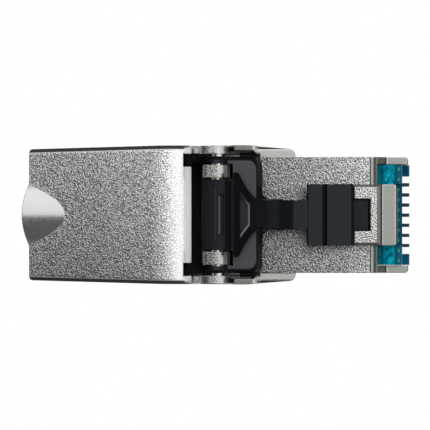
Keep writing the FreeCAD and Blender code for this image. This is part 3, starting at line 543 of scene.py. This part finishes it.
def tealMoulding(name, look=tealLook):
    # clear moulding: its inner steps show as bands, the gilt contacts as a small glint each
    material, tree, shader = newMaterial(name)
    place = objectPlace(tree)
    along, across, _ = split(tree, place)
    first, last = look["bands"][0][0] * mm, look["bands"][-1][0] * mm
    tone = ramp(tree, mapRange(tree, along, (first, last)), look["bands"])
    ripple = grain(tree, place, 1 / look["rippleSize"])
    tone = mixColour(tree, fade(tree, ripple, look["darkSpan"], 0, look["darkShare"]), tone, look["dark"])
    blots = fade(tree, grain(tree, place, 1 / look["litSize"], look["litDetail"]), look["litSpan"])
    tone = mixColour(tree, allOf(tree, between(tree, along, look["litAlong"]), blots), tone, look["lit"])
    tooth = allOf(tree, fade(tree, along, look["toothAlong"]),
                  short(tree, magnitude(tree, across), look["toothHalf"]))
    tone = mixColour(tree, tooth, tone, look["tooth"])
    turn = calc(tree, "FRACT", calc(tree, "DIVIDE", across, look["pitch"]))
    aside = magnitude(tree, less(tree, turn, 0.5))
    ahead = magnitude(tree, less(tree, along, look["glintAt"]))
    glint = allOf(tree, fade(tree, aside, look["glintAside"], 1, 0),
                  fade(tree, ahead, (0, look["glintReach"]), 1, 0))
    plug(tree, mixColour(tree, glint, tone, look["glint"]), shader.inputs["Base Color"])
    plug(tree, look["gloss"], shader.inputs["Specular IOR Level"])
    fine = grain(tree, place, 1 / look["roughnessSize"])
    setRoughness(tree, shader, look["roughness"], fine, look["roughnessDrift"])
    setBump(tree, shader, ripple, look["rippleDepth"], look["rippleStrength"])
    return material


# small metal parts; streaks are lines to the metre along, across and upwards
metalLook = {
    "giltMetal": {"tone": (0.86, 0.62, 0.24, 1), "worn": (0.78, 0.55, 0.22, 1), "roughness": 0.22,
                  "streaks": (900, 9000, 9000)},
    "pinSteel": {"tone": (0.72, 0.72, 0.71, 1), "worn": (0.6, 0.6, 0.59, 1), "roughness": 0.22,
                 "streaks": (9000, 700, 9000)},
    "springSteel": {"tone": (0.66, 0.65, 0.62, 1), "worn": (0.55, 0.54, 0.52, 1), "roughness": 0.3,
                    "streaks": (800, 9000, 9000)},
}
drawnLook = {"lineDetail": 3.0, "lineRough": 0.6, "lineDepth": 0.004 * mm, "lineStrength": 0.5,
             "wornSize": 1.25 * mm, "wornSpan": (0.35, 0.7), "roughnessDrift": (-0.06, 0.08)}


def drawnMetal(name, piece, look=drawnLook):
    # drawn or stamped metal with fine lines along the piece
    material, tree, shader = newMaterial(name)
    place = objectPlace(tree)
    stretched = addNode(tree, "ShaderNodeMapping", {"Vector": place, "Scale": piece["streaks"]}).outputs[0]
    lines = grain(tree, stretched, 1.0, look["lineDetail"], look["lineRough"])
    worn = fade(tree, grain(tree, place, 1 / look["wornSize"]), look["wornSpan"])
    plug(tree, mixColour(tree, worn, piece["tone"], piece["worn"]), shader.inputs["Base Color"])
    plug(tree, 1.0, shader.inputs["Metallic"])
    setRoughness(tree, shader, piece["roughness"], lines, look["roughnessDrift"])
    setBump(tree, shader, lines, look["lineDepth"], look["lineStrength"])
    return material


# circuit board and pale mouldings
insideLook = {
    "boardGreen": {"tone": (0.005, 0.04, 0.015, 1), "second": (0.008, 0.055, 0.02, 1), "roughness": 0.3,
                   "sparkSize": 0.2 * mm},
    "paleMoulding": {"tone": (0.72, 0.72, 0.68, 1), "second": (0.66, 0.66, 0.62, 1), "roughness": 0.42,
                     "sparkSize": 0.15 * mm},
}
plainLook = {"sparkDetail": 3.0, "sparkRough": 0.55, "sparkDepth": 0.006 * mm, "sparkStrength": 0.6,
             "cloudScale": 0.3 / mm, "gloss": 0.15, "roughnessDrift": (-0.05, 0.08),
             "creviceShade": (0, 0, 0, 1), "creviceReach": 4 * mm, "creviceSpan": (0.1, 0.9)}


def plainMoulding(name, piece, look=plainLook):
    # two close tones in soft clouds, with painted shade that is black deep inside
    material, tree, shader = newMaterial(name)
    place = objectPlace(tree)
    cloud = fade(tree, grain(tree, place, look["cloudScale"]), noiseSpan)
    cloudy = mixColour(tree, cloud, piece["tone"], piece["second"])
    clear = openness(tree, look["creviceReach"], look["creviceSpan"])
    plug(tree, mixColour(tree, clear, look["creviceShade"], cloudy), shader.inputs["Base Color"])
    plug(tree, look["gloss"], shader.inputs["Specular IOR Level"])
    spark = grain(tree, place, 1 / piece["sparkSize"], look["sparkDetail"], look["sparkRough"])
    setRoughness(tree, shader, piece["roughness"], spark, look["roughnessDrift"])
    setBump(tree, shader, spark, look["sparkDepth"], look["sparkStrength"])
    return material


def dress(material, *names):
    for name in names:
        mesh = nodes[name].data
        mesh.materials.clear()
        mesh.materials.append(material)


ways = sum(1 for name in nodes if name.startswith("contact_") and name != "contact_insert")
dress(nickelPlate("shellPlate"), "lower_housing", "cover")
dress(blackMoulding("buttonBlack", buttonLook), "latch_actuator")
dress(blackMoulding("leverBlack", leverLook), "latch_lever")
dress(tealMoulding("insertTeal"), "contact_insert")
metals = {name: drawnMetal(name, piece) for name, piece in metalLook.items()}
dress(metals["pinSteel"], "hinge_pin")
dress(metals["springSteel"], "braid_clip")
for number in range(1, ways + 1):
    dress(metals["giltMetal"], f"contact_{number}", f"idc_terminal_{number}")
inside = {name: plainMoulding(name, piece) for name, piece in insideLook.items()}
dress(inside["boardGreen"], "circuit_board")
dress(inside["paleMoulding"], "idc_block", "wire_manager")
print("materials on", len(nodes), "nodes")


stageLook = {
    "floorTone": (0.86, 0.86, 0.86, 1),
    "floorRoughness": 0.8,
    "floorHalf": 0.6,
    "floorLevel": -0.02 * mm,
    "fibreTone": (0.84, 0.84, 0.84, 1),
    "fibreSize": 0.5 * mm,
    "shadowReach": 6.0 * mm,
    "shadowSpan": (0.55, 0.9),
    "shadowLevel": 0.04,
}


def makeFloor(look=stageLook):
    # plain white to the camera and to the metal, but the metal also mirrors its contact shadow
    half, level = look["floorHalf"], look["floorLevel"]
    mesh = bpy.data.meshes.new("floor")
    corners = [(-half, -half, level), (half, -half, level), (half, half, level), (-half, half, level)]
    mesh.from_pydata(corners, [], [(0, 1, 2, 3)])
    floor = bpy.data.objects.new("floor", mesh)
    bpy.context.scene.collection.objects.link(floor)
    material, tree, shader = newMaterial("floorPaper")
    fibre = mapRange(tree, grain(tree, objectPlace(tree), 1 / look["fibreSize"]), noiseSpan)
    plug(tree, mixColour(tree, fibre, look["floorTone"], look["fibreTone"]), shader.inputs["Base Color"])
    plug(tree, look["floorRoughness"], shader.inputs["Roughness"])
    rays = addNode(tree, "ShaderNodeLightPath").outputs
    seen = anyOf(tree, rays["Is Camera Ray"], rays["Is Transmission Ray"], rays["Is Glossy Ray"])
    shadow = inverse(tree, openness(tree, look["shadowReach"], look["shadowSpan"]))
    strength = lerp(tree, allOf(tree, rays["Is Glossy Ray"], shadow), 1.0, look["shadowLevel"])
    glow = addNode(tree, "ShaderNodeEmission", {"Color": pureWhite, "Strength": strength})
    mixed = addNode(tree, "ShaderNodeMixShader", {0: seen, 1: shader.outputs[0], 2: glow.outputs[0]})
    output = next(node for node in tree.nodes if node.type == "OUTPUT_MATERIAL")
    plug(tree, mixed.outputs[0], output.inputs["Surface"])
    mesh.materials.append(material)


# heights here are those of a sky of radius 1
skyLook = {
    "shade": 0.125,
    "horizon": 0.45,
    "horizonRise": (0.0, 0.06),
    "horizonFade": (0.42, 0.62),
    "noseBox": 1.35,
    "noseFoot": 0.0,
    "leftBox": 1.2,
    "leftFoot": 0.2,
    "turnSpan": (-0.25, 0.3),
    "footRise": (0.0, 0.14),
    "high": 1.12,
    "highFade": (0.95, 0.72),
    "rightEdge": math.radians(-6),
    "lowEdge": math.radians(-40),
    "lowFade": (0.85, 0.65),
    "leftEdge": math.radians(110),
    "blur": 0.035,
}


def pastLine(tree, ahead, left, angle, blur):
    # soft step across the line that leaves the zenith in the given direction
    turned = less(tree, allOf(tree, left, math.cos(angle)), allOf(tree, ahead, math.sin(angle)))
    return fade(tree, turned, (-blur, blur))


def makeWorld(look=skyLook):
    # one broad softbox reaching from the nose round to the left side, a weak band near the horizon, and shade
    world = bpy.data.worlds.new("studio")
    bpy.context.scene.world = world
    world.use_nodes = True
    tree = world.node_tree
    tree.nodes.clear()
    output = tree.nodes.new("ShaderNodeOutputWorld")
    ahead, left, up = split(tree, addNode(tree, "ShaderNodeTexCoord").outputs["Generated"])
    afterRight, afterLow, afterLeft = (pastLine(tree, ahead, left, look[edge], look["blur"])
                                       for edge in ("rightEdge", "lowEdge", "leftEdge"))
    afterLow = allOf(tree, afterLow, fade(tree, up, look["lowFade"]))
    turn = fade(tree, less(tree, ahead, left), look["turnSpan"])  # 0 at the left, 1 at the nose
    foot = lerp(tree, turn, look["leftFoot"], look["noseFoot"])
    raised = fade(tree, less(tree, up, foot), look["footRise"])
    box = allOf(tree, anyOf(tree, afterRight, afterLow), inverse(tree, afterLeft), raised)
    sink = fade(tree, up, look["highFade"])
    boxLevel = total(tree, allOf(tree, sink, lerp(tree, turn, look["leftBox"], look["noseBox"])),
                     allOf(tree, inverse(tree, sink), look["high"]))
    band = allOf(tree, fade(tree, up, look["horizonRise"]), fade(tree, up, look["horizonFade"], 1, 0))
    around = total(tree, look["shade"], allOf(tree, band, look["horizon"]))
    level = anyOf(tree, around, allOf(tree, box, boxLevel))
    studio = addNode(tree, "ShaderNodeBackground", {"Color": pureWhite, "Strength": level})
    backdrop = addNode(tree, "ShaderNodeBackground", {"Color": pureWhite, "Strength": 1.0})
    cameraRay = addNode(tree, "ShaderNodeLightPath").outputs["Is Camera Ray"]
    mixed = addNode(tree, "ShaderNodeMixShader", {0: cameraRay, 1: studio.outputs[0], 2: backdrop.outputs[0]})
    plug(tree, mixed.outputs[0], output.inputs["Surface"])


lampLook = {
    "key": {"at": (0.16, 0.08, 0.20), "size": 0.12, "watts": 0.05},
}


def makeLamp(name, at, size, watts):
    # square lamp that looks at the plug
    data = bpy.data.lights.new(name, "AREA")
    data.shape = "SQUARE"
    data.size = size
    data.energy = watts
    lamp = bpy.data.objects.new(name, data)
    bpy.context.scene.collection.objects.link(lamp)
    lamp.location = at
    lamp.rotation_euler = Vector(at).to_track_quat("Z", "Y").to_euler()


# width is what the camera sees across at its distance; tilt, in degrees, leans it sideways
cameraLook = {"width": 43.0 * mm, "distance": 0.60, "tilt": -0.3, "aim": (-0.00015, 0.0, 0.0075),
              "sensor": 36, "nearest": 0.01}


def makeCamera(look=cameraLook):
    data = bpy.data.cameras.new("camera")
    data.sensor_width = look["sensor"]
    data.lens = look["sensor"] * look["distance"] / look["width"]
    data.clip_start = look["nearest"]
    camera = bpy.data.objects.new("camera", data)
    bpy.context.scene.collection.objects.link(camera)
    tilt = math.radians(look["tilt"])
    back = Vector((0, math.sin(tilt), math.cos(tilt)))
    camera.location = Vector(look["aim"]) + back * look["distance"]
    camera.rotation_euler = (-tilt, 0, 0)
    bpy.context.scene.camera = camera


makeFloor()
makeWorld()
for lampName, settings in lampLook.items():
    makeLamp(lampName, **settings)
makeCamera()
bpy.context.scene.view_settings.view_transform = "Standard"
print("stage, lamps and camera")
